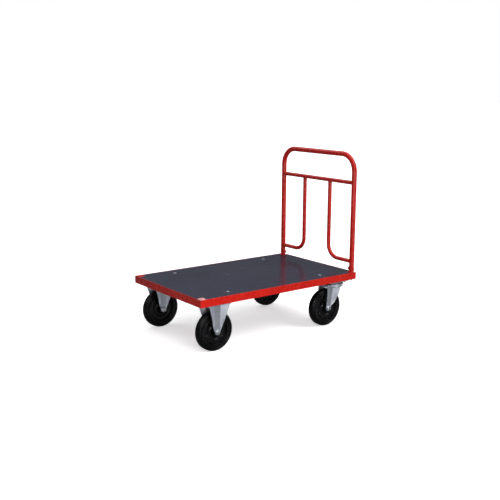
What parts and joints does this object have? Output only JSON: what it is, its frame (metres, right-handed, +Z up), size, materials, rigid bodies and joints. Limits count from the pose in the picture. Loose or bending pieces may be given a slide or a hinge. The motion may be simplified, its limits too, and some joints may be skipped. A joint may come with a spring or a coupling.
{
  "type": "folding platform cart",
  "caption": "Flat-bed cart with a plywood deck in an angle-steel frame, two fixed and two swivel casters, and a tubular push handle that folds down onto the deck.",
  "frame": {"origin": "on the floor, under the middle of the bed", "axes": "+X along the bed to the handle end, +Y across it to the right-hand rail as seen by someone who pushes from behind the handle, +Z up"},
  "size_m": [1, 0.617, 0.9175],
  "materials": {
    "red_paint": "glossy red powder coat",
    "deck_film": "plywood with a smooth dark blue-grey phenolic film",
    "zinc_plate": "zinc-plated steel",
    "pressed_zinc": "pressed sheet steel, zinc-plated",
    "tyre_rubber": "solid black rubber, satin",
    "black_rim": "black enamel on pressed steel",
    "bronze_bush": "sintered bronze"
  },
  "bodies": {
    "cart_frame": {"left_side_rail": "red_paint", "right_side_rail": "red_paint", "front_rail": "red_paint", "rear_rail": "red_paint", "cross_tube_1": "red_paint", "cross_tube_2": "red_paint", "cross_tube_3": "red_paint", "cross_tube_4": "red_paint", "cross_tube_5": "red_paint", "front_corner_box_left": "red_paint", "front_corner_box_right": "red_paint", "deck_board": "deck_film", "deck_bolt_1": "zinc_plate", "deck_bolt_2": "zinc_plate", "deck_bolt_3": "zinc_plate", "deck_bolt_4": "zinc_plate", "hinge_bracket_left": "red_paint", "hinge_bracket_right": "red_paint", "pivot_bush_left": "bronze_bush", "pivot_bush_right": "bronze_bush", "slide_bolt_guide_left": "red_paint", "slide_bolt_guide_right": "red_paint", "fixed_fork_left": "pressed_zinc", "fixed_fork_right": "pressed_zinc", "swivel_plate_left": "pressed_zinc", "swivel_plate_right": "pressed_zinc", "king_pin_left": "zinc_plate", "king_pin_right": "zinc_plate", "axle_bolt_front_left": "zinc_plate", "axle_bolt_front_right": "zinc_plate", "axle_nut_front_left": "zinc_plate", "axle_nut_front_right": "zinc_plate"},
    "push_handle": {"handle_loop": "red_paint", "handle_cross_bar": "red_paint", "handle_brace_left": "red_paint", "handle_brace_right": "red_paint", "pivot_bolt_left": "zinc_plate", "pivot_bolt_right": "zinc_plate", "pivot_nut_left": "zinc_plate", "pivot_nut_right": "zinc_plate"},
    "lock_left": {"slide_bolt_left": "zinc_plate"},
    "swivel_left": {"swivel_fork_left": "pressed_zinc", "axle_bolt_rear_left": "zinc_plate", "axle_nut_rear_left": "zinc_plate"},
    "lock_right": {"slide_bolt_right": "zinc_plate"},
    "swivel_right": {"swivel_fork_right": "pressed_zinc", "axle_bolt_rear_right": "zinc_plate", "axle_nut_rear_right": "zinc_plate"},
    "wheel_front_left": {"tyre_front_left": "tyre_rubber", "wheel_rim_front_left": "black_rim", "hub_bush_front_left": "bronze_bush"},
    "wheel_front_right": {"tyre_front_right": "tyre_rubber", "wheel_rim_front_right": "black_rim", "hub_bush_front_right": "bronze_bush"},
    "wheel_rear_left": {"tyre_rear_left": "tyre_rubber", "wheel_rim_rear_left": "black_rim", "hub_bush_rear_left": "bronze_bush"},
    "wheel_rear_right": {"tyre_rear_right": "tyre_rubber", "wheel_rim_rear_right": "black_rim", "hub_bush_rear_right": "bronze_bush"}
  },
  "joints": [
    {"name": "handle_fold", "type": "hinge", "parent": "cart_frame", "child": "push_handle", "pos_m": [0.4852, 0, 0.296], "axis": [0, -1, 0], "range_deg": [0, 90]},
    {"name": "slide_bolt_left_travel", "type": "slide", "parent": "cart_frame", "child": "lock_left", "axis": [0, -1, 0], "range_m": [0, 0.028]},
    {"name": "slide_bolt_right_travel", "type": "slide", "parent": "cart_frame", "child": "lock_right", "axis": [0, 1, 0], "range_m": [0, 0.028]},
    {"name": "swivel_left_turn", "type": "hinge", "parent": "cart_frame", "child": "swivel_left", "pos_m": [0.385, -0.2484, 0.23], "axis": [0, 0, 1], "continuous": true},
    {"name": "swivel_right_turn", "type": "hinge", "parent": "cart_frame", "child": "swivel_right", "pos_m": [0.385, 0.2484, 0.23], "axis": [0, 0, 1], "continuous": true},
    {"name": "wheel_front_left_spin", "type": "hinge", "parent": "cart_frame", "child": "wheel_front_left", "pos_m": [-0.3856, -0.2484, 0.1], "axis": [0, 1, 0], "continuous": true},
    {"name": "wheel_front_right_spin", "type": "hinge", "parent": "cart_frame", "child": "wheel_front_right", "pos_m": [-0.3856, 0.2484, 0.1], "axis": [0, 1, 0], "continuous": true},
    {"name": "wheel_rear_left_spin", "type": "hinge", "parent": "swivel_left", "child": "wheel_rear_left", "pos_m": [0.331, -0.2484, 0.1], "axis": [0, 1, 0], "continuous": true},
    {"name": "wheel_rear_right_spin", "type": "hinge", "parent": "swivel_right", "child": "wheel_rear_right", "pos_m": [0.331, 0.2484, 0.1], "axis": [0, 1, 0], "continuous": true}
  ]
}
